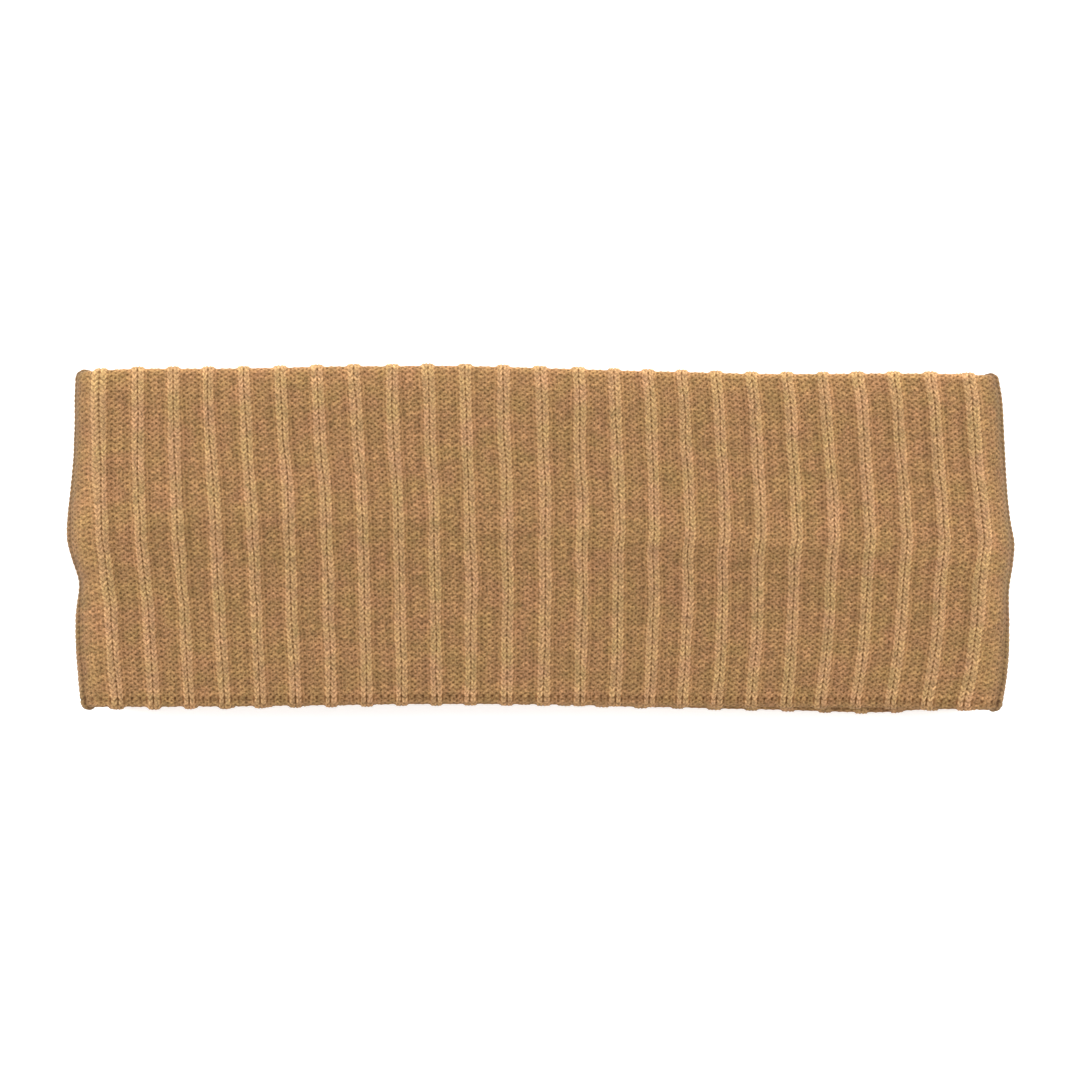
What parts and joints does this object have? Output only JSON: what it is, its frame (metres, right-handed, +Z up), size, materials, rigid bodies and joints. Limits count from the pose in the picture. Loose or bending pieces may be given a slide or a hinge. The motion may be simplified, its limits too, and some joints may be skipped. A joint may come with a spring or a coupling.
{
  "type": "ribbed knit ear warmer headband",
  "caption": "Wide seamless loop of ribbed knit with a doubled wall, lying flat, with an open hollow for the head between its front and back layers.",
  "frame": {"origin": "middle of the footprint, on the surface that the band lies on", "axes": "+X along the flattened loop from its left fold end to its right one, +Y up the band's height towards the folded top edge, +Z up from the surface, out of the front layer"},
  "size_m": [0.2448, 0.0902, 0.0175],
  "materials": {
    "knit": "matt camel-coloured rib knit"
  },
  "bodies": {
    "root": {"knit_band": "knit"}
  },
  "joints": []
}
